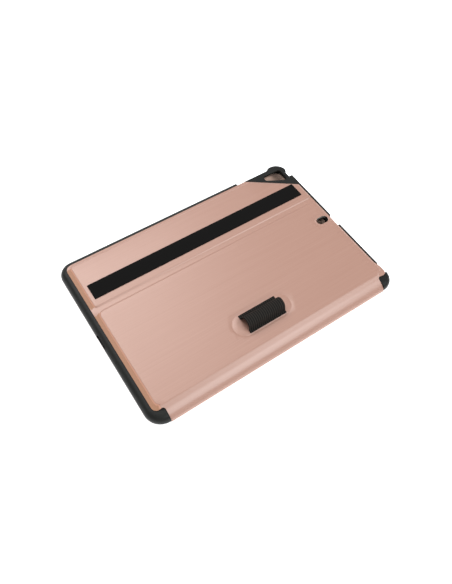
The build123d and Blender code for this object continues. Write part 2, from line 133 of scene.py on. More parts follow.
def inside_loop(point, loop):
    found = False
    for index in range(len(loop)):
        a, b = loop[index - 1], loop[index]
        if (a.y > point.y) != (b.y > point.y):
            if point.x < (b.x - a.x) * (point.y - a.y) / (b.y - a.y) + a.x:
                found = not found
    return found


def open_chains(loop, keep):
    """The stretches of a closed loop whose points are kept, as open chains."""
    flags = [keep(point) for point in loop]
    if all(flags):
        return [closed_chain(loop)]
    first = flags.index(False)
    chains = [[]]
    for step in range(1, len(loop) + 1):
        index = (first + step) % len(loop)
        if flags[index]:
            chains[-1].append(loop[index])
        elif chains[-1]:
            chains.append([])
    return [chain for chain in chains if len(chain) > 1]


def closed_chain(loop):
    return loop + [loop[0]]


def smooth(value, low, high):
    """0 at low, 1 at high, with an easy start and finish."""
    t = max(0.0, min(1.0, (value - low) / (high - low)))
    return t * t * (3 - 2 * t)


def quarter_roll(distance, reach):
    """0 from reach inward, rising along a quarter circle to 1 at the edge itself."""
    roll = max(0.0, 1 - max(distance, 0.0) / reach)
    return 1 - math.sqrt(max(0.0, 1 - roll * roll))


def across_width(half, stations):
    """Places across a sheet, at the same distances from both of its ends."""
    return [-half + s for s in stations] + [half - s for s in reversed(stations)]


def line(x0, y0, x1, y1, step):
    count = max(1, round(math.hypot(x1 - x0, y1 - y0) / step))
    return [Vector((x0 + (x1 - x0) * i / count, y0 + (y1 - y0) * i / count)) for i in range(count + 1)]


def flat_mesh(outline, holes, rings, lines, spacing, keep_clear=None):
    """A triangulated sheet in the plane, with edges along every ring and line."""
    points = []
    edges = []

    def add(chain, closed):
        first = len(points)
        points.extend(chain)
        edges.extend((first + i, first + i + 1) for i in range(len(chain) - 1))
        if closed:
            edges.append((first + len(chain) - 1, first))

    add(outline, True)
    for loop in holes + rings:
        add(loop, True)
    for chain in lines:
        add(chain, False)
    xs = [p.x for p in outline]
    ys = [p.y for p in outline]
    columns = int((max(xs) - min(xs)) / spacing)
    rows = int((max(ys) - min(ys)) / spacing)
    for column in range(columns):
        for row in range(rows):
            shift = 0.5 if row % 2 else 0.0
            x = min(xs) + (column + 0.25 + shift) * spacing
            point = Vector((x, min(ys) + (row + 0.5) * spacing))
            if inside_loop(point, outline) and (keep_clear is None or not keep_clear(point)):
                points.append(point)
    made = geometry.delaunay_2d_cdt(points, edges, [], 0, 1e-4)
    faces = []
    for face in made[2]:
        middle = sum((made[0][i] for i in face), Vector((0, 0))) / len(face)
        if inside_loop(middle, outline) and not any(inside_loop(middle, hole) for hole in holes):
            faces.append(face)
    return made[0], faces


def add_object(name, data):
    made = bpy.data.objects.new(name, data)
    bpy.context.scene.collection.objects.link(made)
    return made


def sheet_object(name, flat, place, thickness=SKIN, outward=1):
    """Bends a flat mesh into space, gives it a thickness and returns the new object."""
    vertices, faces = flat
    mesh = bpy.data.meshes.new(name)
    mesh.from_pydata([place(v.x, v.y) for v in vertices], [], [list(f) for f in faces])
    work = bmesh.new()
    work.from_mesh(mesh)
    loose = [v for v in work.verts if not v.link_faces]
    bmesh.ops.delete(work, geom=loose, context="VERTS")
    bmesh.ops.recalc_face_normals(work, faces=work.faces)
    work.faces.ensure_lookup_table()
    if outward * work.faces[len(work.faces) // 2].normal.z < 0:
        bmesh.ops.reverse_faces(work, faces=work.faces)
    work.to_mesh(mesh)
    work.free()
    made = add_object(name, mesh)
    thicken(made, thickness)
    return made


def apply_modifiers(made):
    bpy.context.view_layer.update()
    evaluated = made.evaluated_get(bpy.context.evaluated_depsgraph_get())
    mesh = bpy.data.meshes.new_from_object(evaluated)
    made.modifiers.clear()
    made.data = mesh


def thicken(made, thickness):
    solid = made.modifiers.new("thickness", "SOLIDIFY")
    solid.thickness = thickness * MM
    solid.offset = -1
    solid.use_even_offset = False
    apply_modifiers(made)
    shade(made)


SHARP_ANGLE = 50


def shade(made):
    for polygon in made.data.polygons:
        polygon.use_smooth = True
    made.data.set_sharp_from_angle(angle=math.radians(SHARP_ANGLE))


def grid_object(name, rows, tube=False):
    """A skin of quads over rows of points. A tube's rows are rings, and its two ends are capped."""
    work = bmesh.new()
    made_rows = [[work.verts.new(p) for p in row] for row in rows]
    count = len(rows[0])
    for a, b in zip(made_rows, made_rows[1:]):
        for j in range(count if tube else count - 1):
            k = (j + 1) % count
            work.faces.new((a[j], a[k], b[k], b[j]))
    if tube:
        work.faces.new(list(reversed(made_rows[0])))
        work.faces.new(made_rows[-1])
    bmesh.ops.recalc_face_normals(work, faces=work.faces)
    mesh = bpy.data.meshes.new(name)
    work.to_mesh(mesh)
    work.free()
    made = add_object(name, mesh)
    shade(made)
    return made


# ---------------------------------------------------------------- materials


def material(name, color, roughness, metallic=0.0, specular=0.5):
    made = bpy.data.materials.new(name)
    made.use_nodes = True
    shader = made.node_tree.nodes["Principled BSDF"]
    shader.inputs["Base Color"].default_value = (*color, 1)
    shader.inputs["Roughness"].default_value = roughness
    shader.inputs["Metallic"].default_value = metallic
    shader.inputs["Specular IOR Level"].default_value = specular
    return made


class Nodes:
    """Short ways to add and join shader nodes in one material."""

    # Noise textures mostly keep to this span of values.
    noise_span = (0.3, 0.7)

    def __init__(self, made):
        self.tree = made.node_tree
        self.shader = self.tree.nodes["Principled BSDF"]
        self.place = self.tree.nodes.new("ShaderNodeTexCoord").outputs["Object"]

    def link(self, source, target):
        self.tree.links.new(source, target)

    def scaled(self, x, y, z):
        node = self.tree.nodes.new("ShaderNodeMapping")
        node.inputs["Scale"].default_value = (x, y, z)
        self.link(self.place, node.inputs["Vector"])
        return node.outputs["Vector"]

    def noise(self, vector, scale, detail, roughness):
        node = self.tree.nodes.new("ShaderNodeTexNoise")
        node.inputs["Scale"].default_value = scale
        node.inputs["Detail"].default_value = detail
        node.inputs["Roughness"].default_value = roughness
        self.link(vector, node.inputs["Vector"])
        return node.outputs["Fac"]

    def wave(self, scale, direction, phase=0.0):
        node = self.tree.nodes.new("ShaderNodeTexWave")
        node.bands_direction = direction
        node.inputs["Scale"].default_value = scale
        node.inputs["Distortion"].default_value = 0.0
        node.inputs["Phase Offset"].default_value = phase
        self.link(self.place, node.inputs["Vector"])
        return node.outputs["Fac"]

    def math(self, operation, a, b):
        """One operation on two values, each a number or another node's output."""
        node = self.tree.nodes.new("ShaderNodeMath")
        node.operation = operation
        for socket, value in zip(node.inputs, (a, b)):
            if isinstance(value, (int, float)):
                socket.default_value = value
            else:
                self.link(value, socket)
        return node.outputs["Value"]

    def mixed(self, a, b, share):
        """Two values added together, with the given share of the first."""
        return self.math("ADD", self.math("MULTIPLY", a, share), self.math("MULTIPLY", b, 1 - share))

    def vary_color(self, factor, *stops):
        """The base colour follows a factor, through two (value, colour) stops."""
        node = self.tree.nodes.new("ShaderNodeValToRGB")
        for element, (position, color) in zip(node.color_ramp.elements, stops):
            element.position = position
            element.color = (*color, 1)
        self.link(factor, node.inputs["Fac"])
        self.link(node.outputs["Color"], self.shader.inputs["Base Color"])

    def vary_roughness(self, factor, low, high):
        node = self.tree.nodes.new("ShaderNodeMapRange")
        node.inputs["From Min"].default_value = self.noise_span[0]
        node.inputs["From Max"].default_value = self.noise_span[1]
        node.inputs["To Min"].default_value = low
        node.inputs["To Max"].default_value = high
        self.link(factor, node.inputs["Value"])
        self.link(node.outputs["Result"], self.shader.inputs["Roughness"])

    def bump(self, height, strength, distance):
        node = self.tree.nodes.new("ShaderNodeBump")
        node.inputs["Strength"].default_value = strength
        node.inputs["Distance"].default_value = distance
        self.link(height, node.inputs["Height"])
        self.link(node.outputs["Normal"], self.shader.inputs["Normal"])

    def sheen(self, weight, roughness):
        self.shader.inputs["Sheen Weight"].default_value = weight
        self.shader.inputs["Sheen Roughness"].default_value = roughness


def rose_skin(name, light, deep, metallic, specular, sheen):
    """Pearly rose-gold leather-look skin, with fine faint streaks along x like brushed metal."""
    made = material(name, light, 0.4, metallic, specular)
    nodes = Nodes(made)
    streaks = nodes.noise(nodes.scaled(14, 2200, 2200), scale=1.0, detail=4.0, roughness=0.65)
    broad = nodes.noise(nodes.scaled(8, 420, 420), scale=1.0, detail=2.0, roughness=0.5)
    grain = nodes.noise(nodes.place, scale=2600, detail=2.0, roughness=0.5)
    tone = nodes.mixed(streaks, broad, 0.86)
    nodes.vary_color(tone, (0.34, deep), (0.66, light))
    nodes.vary_roughness(tone, 0.36, 0.45)
    nodes.bump(nodes.mixed(streaks, grain, 0.7), strength=0.2, distance=0.00006)
    nodes.sheen(sheen, roughness=0.4)
    return made


def black_rubber():
    """Satin moulded rubber, very finely pitted, with slow changes in shine."""
    made = material("black_rubber", (0.012, 0.012, 0.011), 0.48, specular=0.23)
    nodes = Nodes(made)
    pits = nodes.noise(nodes.place, scale=3200, detail=2.0, roughness=0.6)
    cloud = nodes.noise(nodes.place, scale=55, detail=3.0, roughness=0.5)
    nodes.vary_color(cloud, (0.3, (0.0105, 0.0105, 0.0095)), (0.7, (0.0145, 0.0145, 0.013)))
    nodes.vary_roughness(cloud, 0.44, 0.56)
    nodes.bump(pits, strength=0.18, distance=0.00005)
    return made


def hard_black():
    """Fine-textured hard plastic."""
    made = material("hard_black", (0.03, 0.03, 0.03), 0.42)
    nodes = Nodes(made)
    fine = nodes.noise(nodes.place, scale=4200, detail=2.0, roughness=0.5)
    nodes.vary_roughness(fine, 0.38, 0.5)
    nodes.bump(fine, strength=0.15, distance=0.00004)
    return made


LOOP_LOW, LOOP_HIGH = box_from_ridge("pen_loop")
LOOP_RIBS = 19
# A wave texture of scale 1 turns through this angle, in radians, over one metre.
WAVE_TURNS = 20.0


def ribbed_elastic_painted_rib_shade():
    """Woven elastic with painted shade in the valleys between the ribs and a painted highlight on the ribs,
    in step with the mesh.
    """
    made = material("ribbed_elastic_painted_rib_shade", (0.012, 0.010, 0.009), 0.8, specular=0.2)
    nodes = Nodes(made)
    pitch = (LOOP_HIGH.x - LOOP_LOW.x) * MM / LOOP_RIBS
    per_metre = 2 * math.pi / pitch
    # This wave paints shade into the valleys between the ribs and a highlight on their tops; the weave and
    # fuzz mixed in below are the elastic's own texture.
    rib = nodes.wave(per_metre / WAVE_TURNS, "X", -per_metre * at(LOOP_LOW.x, 0, 0).x)
    weave = nodes.math("MULTIPLY", nodes.wave(520, "X"), nodes.wave(420, "Y"))
    fuzz = nodes.noise(nodes.place, scale=1800, detail=2.0, roughness=0.6)
    height = nodes.mixed(weave, fuzz, 0.6)
    tone = nodes.mixed(rib, height, 0.75)
    nodes.vary_color(tone, (0.12, (0.0025, 0.002, 0.0018)), (0.85, (0.028, 0.0225, 0.0185)))
    nodes.bump(height, strength=0.5, distance=0.00012)
    return made


def strap_weave():
    """Dull black webbing with an even weave."""
    made = material("strap_weave", (0.007, 0.0065, 0.006), 0.9, specular=0.12)
    nodes = Nodes(made)
    weave = nodes.math("MULTIPLY", nodes.wave(330, "X"), nodes.wave(330, "Y"))
    fuzz = nodes.noise(nodes.place, scale=1500, detail=2.0, roughness=0.6)
    height = nodes.mixed(weave, fuzz, 0.5)
    nodes.vary_color(height, (0.2, (0.0045, 0.004, 0.0038)), (0.8, (0.0095, 0.0085, 0.008)))
    nodes.bump(height, strength=0.45, distance=0.0001)
    return made


def microsuede(name, dark, light):
    """Short soft nap, a little cloudy."""
    made = material(name, light, 0.95, specular=0.2)
    nodes = Nodes(made)
    nap = nodes.noise(nodes.place, scale=900, detail=4.0, roughness=0.65)
    cloud = nodes.noise(nodes.place, scale=30, detail=3.0, roughness=0.55)
    nodes.vary_color(nodes.mixed(nap, cloud, 0.8), (0.35, dark), (0.65, light))
    nodes.bump(nap, strength=0.5, distance=0.00015)
    nodes.sheen(0.5, roughness=0.45)
    return made


def grey_board():
    """Dense binder's board, with its layers showing at a cut edge."""
    made = material("grey_board", (0.3, 0.28, 0.26), 0.9)
    nodes = Nodes(made)
    fibre = nodes.noise(nodes.scaled(400, 400, 2500), scale=1.0, detail=4.0, roughness=0.65)
    nodes.vary_color(fibre, (0.3, (0.2, 0.185, 0.17)), (0.7, (0.38, 0.355, 0.33)))
    nodes.bump(fibre, strength=0.4, distance=0.0001)
    return made


def metal(name, color, roughness):
    """Metal brushed along x."""
    made = material(name, color, roughness, metallic=1.0)
    nodes = Nodes(made)
    brushed = nodes.noise(nodes.scaled(60, 2600, 2600), scale=1.0, detail=3.0, roughness=0.5)
    nodes.vary_roughness(brushed, roughness - 0.06, roughness + 0.12)
    nodes.bump(brushed, strength=0.15, distance=0.00003)
    return made


def glue_film():
    """A pale, patchy glued film."""
    made = material("glue_film", (0.62, 0.58, 0.48), 0.5)
    nodes = Nodes(made)
    patch = nodes.noise(nodes.place, scale=140, detail=3.0, roughness=0.5)
    nodes.vary_color(patch, (0.3, (0.5, 0.46, 0.37)), (0.7, (0.66, 0.62, 0.52)))
    return made


def dress(made, look):
    """Gives a piece its material."""
    made.data.materials.clear()
    made.data.materials.append(look)


ROSE = rose_skin(
    "rose_gold_skin", (0.485, 0.262, 0.197), (0.448, 0.232, 0.171), metallic=0.05, specular=1.0, sheen=0.12)
# Painted light and shade for the left side only: the turn's paler copy of the skin is painted light on a
# side in shade, and the border strip's deeper copy is painted shade.
ROSE_TURN_PAINTED_LIGHT = rose_skin(
    "rose_gold_turn_painted_light", (0.64, 0.335, 0.235), (0.59, 0.302, 0.208), metallic=0.0, specular=0.2, sheen=0.0)
ROSE_EDGE_PAINTED_SHADE = rose_skin(
    "rose_gold_edge_painted_shade", (0.44, 0.222, 0.138), (0.4, 0.198, 0.12), metallic=0.0, specular=0.2, sheen=0.0)
RUBBER = black_rubber()
SUEDE = microsuede("rose_microsuede", (0.34, 0.215, 0.165), (0.5, 0.33, 0.26))
FELT = microsuede("grey_microfibre", (0.035, 0.035, 0.036), (0.075, 0.075, 0.078))
ELASTIC = ribbed_elastic_painted_rib_shade()
WEAVE = strap_weave()
BOARD = grey_board()

for node_name, look in {
    "bumper_frame": RUBBER,
    "back_plate": hard_black(),
    "keeper_plates": metal("tinned_steel", (0.55, 0.55, 0.54), 0.35),
    "flap_magnets": metal("nickel_plate", (0.62, 0.6, 0.56), 0.25),
    "cover_magnets": metal("nickel_plate_bars", (0.62, 0.6, 0.56), 0.25),
    "back_adhesive": glue_film(),
    "loop_patch": glue_film(),
    "back_board": BOARD,
    "flap_board": BOARD,
    "spine_board": BOARD,
    "front_board": BOARD,
}.items():
    dress(frame["nodes"][node_name], look)

# ---------------------------------------------------------------- the back panel's skin

HALF = 122.3
FAR_Y = 160.0
EAR_Y = -2.4
FLARE = 2.6
SPINE_LEFT = -112.9
SPINE_RIGHT = 113.4
SPINE_MIDDLE = (SPINE_LEFT + SPINE_RIGHT) / 2
SPINE_HALF = (SPINE_RIGHT - SPINE_LEFT) / 2
RIDGE_SEAM = 0.6
# The two boards under the skin and the two ovals on it: x from and to, y from and to, corner radius.
MAIN = (-118.3, 121.4, 0.0, 101.5, 5.0)
FLAP = (-118.3, 121.4, 107.0, 157.0, 3.0)
SLOT = (106.4, 119.0, 73.7, 81.9, 4.09)
LOOP_OVAL = (-29.0, 30.0, 12.2, 34.2, 10.9)
GROOVE_MIDDLE = (MAIN[3] + FLAP[2]) / 2
RIGHT_EAR = (124.6, -3.0)
RIGHT_EAR_TOP = ((124.6, 6.0, 5.0), (122.5, 13.0, 6.0))
# The camera cut slants from the right edge up to the far edge.
CHAMFER_LOW = Vector((121.5, 128.6))
CHAMFER_HIGH = Vector((80.2, 157.8))
CHAMFER_SLOPE = (CHAMFER_HIGH.y - CHAMFER_LOW.y) / (CHAMFER_HIGH.x - CHAMFER_LOW.x)
CHAMFER_GAP = 1.5
BORDER_LEVEL = -1.05
BORDER_FALL = 0.5
BORDER_FALL_SPAN = (0.4, 4.2)
EDGE_DROP = (-1.1, 0.8)
GROOVE_RISE = 0.35
GROOVE_FADE = 8
# How far from the spine's middle the board's near edge, and the slope beside the ridge, come and go.
NEAR_EDGE_FADE = (114.0, 109.0)
EAR_FADE = (114.0, 119.5)
BEYOND_RIDGE = 20
SLOT_GROOVE = 0.28
SLOT_EDGE_DROP = 0.25
LOOP_GROOVE = 0.32


def chamfer_distance(x, y):
    """How far a point lies beyond the slanting camera cut, negative on the flap's side."""
    over = y - (CHAMFER_LOW.y + (x - CHAMFER_LOW.x) * CHAMFER_SLOPE)
    return over / math.hypot(1, CHAMFER_SLOPE)


def chamfer_x(y):
    return CHAMFER_LOW.x + (y - CHAMFER_LOW.y) / CHAMFER_SLOPE


def chamfer_y(x):
    return CHAMFER_LOW.y + (x - CHAMFER_LOW.x) * CHAMFER_SLOPE


PANEL_CORNERS = [
    (SPINE_LEFT - FLARE, RIDGE_SEAM, 0.0),
    (SPINE_RIGHT + FLARE, RIDGE_SEAM, 0.0),
    (SPINE_RIGHT + FLARE, EAR_Y, 0.0),
    (*RIGHT_EAR, 4.0),
    *RIGHT_EAR_TOP,
    (HALF, chamfer_y(HALF), 2.6),
    (chamfer_x(FAR_Y), FAR_Y, 3.0),
    (-HALF, FAR_Y, 6.0),
    (-HALF, EAR_Y, 5.0),
    (SPINE_LEFT - FLARE, EAR_Y, 0.0),
]


def cut_rectangle(x0, x1, y0, y1, gap, near_radius, cut_radii, far_radius):
    """A rectangle's corners, less the camera cut and a gap beside it."""
    slant = gap * math.hypot(1, CHAMFER_SLOPE)
    return [
        (x0, y0, near_radius),
        (x1, y0, near_radius),
        (x1, chamfer_y(x1) - slant, cut_radii[0]),
        (chamfer_x(y1 + slant), y1, cut_radii[1]),
        (x0, y1, far_radius),
    ]


def edge_drop(distance):
    """The skin's height over a board's edge: flat on the board, a steep side, then the border."""
    return BORDER_LEVEL * smooth(distance, *EDGE_DROP)


def border_height(distance):
    """The border strip falls gently to its edge."""
    return -BORDER_FALL * smooth(distance, *BORDER_FALL_SPAN)


def main_distance(x, y):
    """Distance to the main board's outline. Along the spine it has no near edge, only the ridge."""
    x0, x1, y0, y1, radius = MAIN
    closed = rectangle_distance(x, y, x0, x1, y0, y1, radius)
    open_near = rectangle_distance(x, y, x0, x1, y0 - BEYOND_RIDGE, y1, radius)
    beside_spine = smooth(abs(x - SPINE_MIDDLE), *NEAR_EDGE_FADE)
    return closed + (open_near - closed) * beside_spine


def slot_height(x, y):
    """The microphone slot's rolled edge, and the shallow ring pressed round it."""
    ring = rectangle_distance(x, y, *SLOT)
    pressed = smooth(ring, 0.9, 1.5) - smooth(ring, 1.9, 2.7)
    return -SLOT_GROOVE * pressed - SLOT_EDGE_DROP * (1 - smooth(ring, 0.0, 0.8))


def loop_groove_height(x, y):
    """The oval pressed round the pen loop."""
    oval = abs(rectangle_distance(x, y, *LOOP_OVAL))
    return -LOOP_GROOVE * (1 - smooth(oval, 0.15, 1.1))


def panel_height(x, y):
    """The skin's height over the two boards, the groove, the border, the slot and the loop's oval."""
    main = main_distance(x, y)
    flap = max(rectangle_distance(x, y, *FLAP), chamfer_distance(x, y) + CHAMFER_GAP)
    nearest = min(main, flap)
    height = edge_drop(nearest)
    if MAIN[3] - 2 < y < FLAP[2] + 2:
        inner = HALF - GROOVE_FADE
        height *= 1 - GROOVE_RISE * smooth(x, HALF, inner) * smooth(-x, HALF, inner)
    if not MAIN[3] < y < FLAP[2]:
        height += border_height(nearest)
    return height + slot_height(x, y) + loop_groove_height(x, y)


def panel_place(x, y):
    """The panel's skin in space. Beside the ridge it runs down on to the spine's slope."""
    height = panel_height(x, y)
    if y < RIDGE_SEAM:
        toward = 1 - smooth(abs(x - SPINE_MIDDLE), *EAR_FADE)
        height += (spine_height(y) - height) * toward
    return at(x, y, height)


# ---------------------------------------------------------------- the spine

# The outside of the spine as (y, z) points, from the ridge down to its foot.
SPINE_FACE = [
    (0.8, 0.0), (0.0, -0.03), (-0.8, -0.2), (-2.6, -0.75), (-5.6, -1.72), (-9.4, -3.7), (-11.4, -5.45),
    (-12.8, -7.2), (-13.4, -8.9), (-13.15, -10.8), (-12.4, -12.4), (-11.75, -13.7),
]


def smooth_path(points, steps):
    """A Catmull-Rom curve through points, with the same number of steps in each span."""
    path = []
    for index in range(len(points) - 1):
        p0 = Vector(points[max(index - 1, 0)])
        p1 = Vector(points[index])
        p2 = Vector(points[index + 1])
        p3 = Vector(points[min(index + 2, len(points) - 1)])
        for step in range(steps):
            t = step / steps
            path.append(
                0.5 * (2 * p1 + (p2 - p0) * t + (2 * p0 - 5 * p1 + 4 * p2 - p3) * t ** 2
                       + (3 * p1 - p0 - 3 * p2 + p3) * t ** 3)
            )
    path.append(Vector(points[-1]))
    return path


SPINE_PATH = smooth_path(SPINE_FACE, 5)


def spine_height(y):
    """The height of the spine's outside at a place above its bulge."""
    for a, b in zip(SPINE_PATH, SPINE_PATH[1:]):
        if b.x <= y <= a.x and a.x > b.x:
            return a.y + (b.y - a.y) * (a.x - y) / (a.x - b.x)
    return SPINE_PATH[0].y


class Bend:
    """Turns distance along a section into a (y, z) place, so that a flat sheet can follow it."""

    def __init__(self, path):
        self.path = path
        self.lengths = [0.0]
        for a, b in zip(path, path[1:]):
            self.lengths.append(self.lengths[-1] + (b - a).length)
        self.total = self.lengths[-1]

    def __call__(self, distance):
        distance = max(0.0, min(self.total, distance))
        for index in range(1, len(self.path)):
            if distance <= self.lengths[index]:
                span = self.lengths[index] - self.lengths[index - 1]
                part = (distance - self.lengths[index - 1]) / span if span else 0.0
                return self.path[index - 1].lerp(self.path[index], part)
        return self.path[-1]


# ---------------------------------------------------------------- making the skins

BOARD_EDGE_RINGS = (-1.1, -0.8, -0.5, -0.25, 0.0, 0.25, 0.5, 0.8, 1.6, 2.4)
BORDER_RINGS = (0.4, 1.0)
SLOT_RINGS = (0.4, 0.8, 1.2, 1.6, 2.1, 2.6)
LOOP_RINGS = (-1.0, -0.5, 0.0, 0.5, 1.0)
BOARD_OUTLINES = (
    rectangle(*MAIN),
    cut_rectangle(*FLAP[:4], CHAMFER_GAP, FLAP[4], (1.5, 2.0), FLAP[4]),
)


def board_ring_runs(point, past_groove):
    """Whether a ring round a board runs here: clear of the skin's edges, the groove and the ridge."""
    x, y = point
    in_outline = rectangle_distance(x, y, -HALF, HALF, EAR_Y, FAR_Y, 5.0) < -1.3
    off_chamfer = chamfer_distance(x, y) < -0.4
    own_side = (y > GROOVE_MIDDLE) == past_groove
    off_groove = abs(y - GROOVE_MIDDLE) > 0.4
    off_ridge = y > 2.0 or abs(x) > 115.4
    return in_outline and off_chamfer and own_side and off_groove and off_ridge


def panel_lines():
    """The lines that the panel's mesh follows: border, board edges, slot, loop and groove."""
    lines = []
    for inset in BORDER_RINGS:
        ring = rounded_loop(PANEL_CORNERS, inset, 2.5)
        lines += open_chains(ring, lambda p: p.y > 8 or abs(p.x) > 114.7)
    for corners, past_groove in zip(BOARD_OUTLINES, (False, True)):
        for distance in BOARD_EDGE_RINGS:
            ring = rounded_loop(corners, -distance, 3.0, 8)
            lines += open_chains(ring, lambda p: board_ring_runs(p, past_groove))
    for distance in SLOT_RINGS:
        ring = rounded_loop(rectangle(*SLOT), -distance, 1.5, 10)
        lines += open_chains(ring, lambda p: p.x < MAIN[1] - 1.6)
    for distance in LOOP_RINGS:
        lines.append(closed_chain(rounded_loop(rectangle(*LOOP_OVAL), -distance, 2.0, 14)))
    lines.append(line(-HALF + 1.6, GROOVE_MIDDLE, HALF - 1.6, GROOVE_MIDDLE, 3.0))
    return lines


def make_panel_skin():
    """The one skin over the back panel and the stand flap, across the groove where the flap folds."""
    outline = rounded_loop(PANEL_CORNERS, 0.0, 2.5)
    slot = rounded_loop(rectangle(*SLOT), 0.0, 1.5, 10)

    def near_detail(point):
        x, y = point
        return main_distance(x, y) > -3 or abs(rectangle_distance(x, y, *LOOP_OVAL)) < 2

    flat = flat_mesh(outline, [slot], [], panel_lines(), 5.0, near_detail)
    made = sheet_object("panel_skin", flat, panel_place)
    dress(made, ROSE)
    paint_left_edge_light_and_shade(made)
    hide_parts("back_skin", "flap_skin")
    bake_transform(made)


def paint_left_edge_light_and_shade(made):
    """On the left only, painted shade makes the border strip deeper in colour than the panel, and painted
    light makes the turn to it paler.
    """
    painted_shade_index, painted_light_index = 1, 2
    made.data.materials.append(ROSE_EDGE_PAINTED_SHADE)
    made.data.materials.append(ROSE_TURN_PAINTED_LIGHT)
    for polygon in made.data.polygons:
        point = from_ridge(polygon.center)
        beyond = min(main_distance(point.x, point.y), rectangle_distance(point.x, point.y, *FLAP))
        inner_ear = point.y < RIDGE_SEAM and abs(point.x - SPINE_MIDDLE) < 117.2
        groove = MAIN[3] - 1 < point.y < FLAP[2] + 1
        if beyond < -0.5 or groove or point.x > 0 or point.y > FAR_Y - 4:
            continue
        # Left-side faces get painted light on the turn and painted shade on the border strip.
        polygon.material_index = painted_light_index if inner_ear or beyond < 0.5 else painted_shade_index


make_panel_skin()


SPINE_SEAM = 0.2
SPINE_STEPS = 64
SPINE_OUTWARD = Vector((0, -0.7, 0.7))
EAR_REACH = 3.2


def make_spine_skin():
    """The skin from the ridge to the bottom fold. Below the panel's ears it widens by the flare."""
    bend = Bend(SPINE_PATH)
    total = bend.total
    across = across_width(SPINE_HALF, [0, 0.3, 0.8, 1.6, 3, 6, 12, 24, 40, 60, 80, 100])
    rows = []
    for step in range(SPINE_STEPS + 1):
        distance = SPINE_SEAM + (total - SPINE_SEAM) * step / SPINE_STEPS
        place = bend(distance)
        past_ear = max(0.0, min(FLARE, distance - EAR_REACH))
        widen = FLARE - math.sqrt(max(0.0, FLARE ** 2 - (FLARE - past_ear) ** 2))
        wider = [SPINE_MIDDLE + x * (SPINE_HALF + widen) / SPINE_HALF for x in across]
        rows.append([at(x, place.x, place.y) for x in wider])
    made = grid_object("spine_cover", rows)
    thicken_inward(made, SKIN)
    dress(made, ROSE)
    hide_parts("spine_skin")
    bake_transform(made)


def thicken_inward(made, thickness):
    """Adds thickness on a spine piece's inner side, whichever way its faces turned out."""
    work = bmesh.new()
    work.from_mesh(made.data)
    work.faces.ensure_lookup_table()
    face = work.faces[len(work.faces) // 2]
    if face.normal.dot(SPINE_OUTWARD) < 0:
        bmesh.ops.reverse_faces(work, faces=work.faces)
    work.to_mesh(made.data)
    work.free()
    thicken(made, thickness)


make_spine_skin()

# ---------------------------------------------------------------- the front cover's skin

FRONT = (-127.2, 124.8, -7.0, 164.5, 12.0)
FRONT_RIM = -13.4
FRONT_ROLL = 1.0
BESIDE_SPINE = (113.3, 114.5)
PAST_FOLD = (-6.5, -4.5)
FOLD_ARC = (170, 270)
FOLD_STEPS = 6


def front_section():
    """From the foot of the spine, round the bottom fold, to the start of the flat cover."""
    path = [SPINE_PATH[-1].copy()]
    for step in range(FOLD_STEPS + 1):
        angle = math.radians(FOLD_ARC[0] + (FOLD_ARC[1] - FOLD_ARC[0]) * step / FOLD_STEPS)
        path.append(Vector((FOLD.y + SKIN * math.cos(angle), FOLD.z + SKIN * math.sin(angle))))
    return path


FRONT_BEND = Bend(front_section())


def front_place(x, y):
    """y runs along the cover; past the fold it goes on as distance round it."""
    if y < FOLD.y:
        place = FRONT_BEND(FRONT_BEND.total - (FOLD.y - y))
        return at(x, place.x, place.y)
    beside = max(smooth(abs(x - SPINE_MIDDLE), *BESIDE_SPINE), smooth(y, *PAST_FOLD))
    lift = (FRONT_RIM - FLOOR) * quarter_roll(-rectangle_distance(x, y, *FRONT), FRONT_ROLL)
    return at(x, y, FLOOR + lift * beside)


def make_front_skin():
    """The cover's outer skin, from the foot of the spine round the fold and over the board's rim."""
    low = FOLD.y - FRONT_BEND.total
    x0, x1, y0, y1, radius = FRONT
    corners = [
        (SPINE_LEFT, low, 0.01),
        (SPINE_RIGHT, low, 0.01),
        (SPINE_RIGHT, y0, 0.5),
        (x1, y0, radius * 0.8),
        (x1, y1, radius),
        (x0, y1, radius),
        (x0, y0, radius * 0.8),
        (SPINE_LEFT, y0, 0.5),
    ]
    outline = rounded_loop(corners, 0.0, 4.0)
    rings = [rounded_loop(rectangle(*FRONT), inset, 4.0) for inset in (0.03, 0.1, 0.22, 0.4, 0.65, 1.0, 2.0)]
    left, right = SPINE_LEFT + 0.1, SPINE_RIGHT - 0.1
    fold_lines = [low + i * 0.25 for i in range(1, 9)] + [-9.5, -8.0]
    lines = [line(left, y, right, y, 6.0) for y in fold_lines]
    flat = flat_mesh(outline, [], rings, lines, 9.0, lambda p: rectangle_distance(p.x, p.y, *FRONT) > -3)
    made = sheet_object("front_cover_skin", flat, front_place, SKIN, -1)
    dress(made, ROSE)
    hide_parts("front_skin")
    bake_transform(made)


make_front_skin()


LINING_INSET = 0.9
LINING_TOP = FLOOR + 2.8
LINING_THICKNESS = 0.5
LINING_ROLL = 0.7
# The lining's upper side over the fold as (y, z) points, from inside the spine to the cover's board.
LINING_FOLD = [
    (-10.9, -12.9), (-10.85, -14.0), (-10.5, -14.4), (-9.8, -14.42),
    (-8.6, -14.35), (-7.9, -13.6), (-7.0, -12.86), (-5.5, -12.8),
]
FOLD_HALF = 112.4


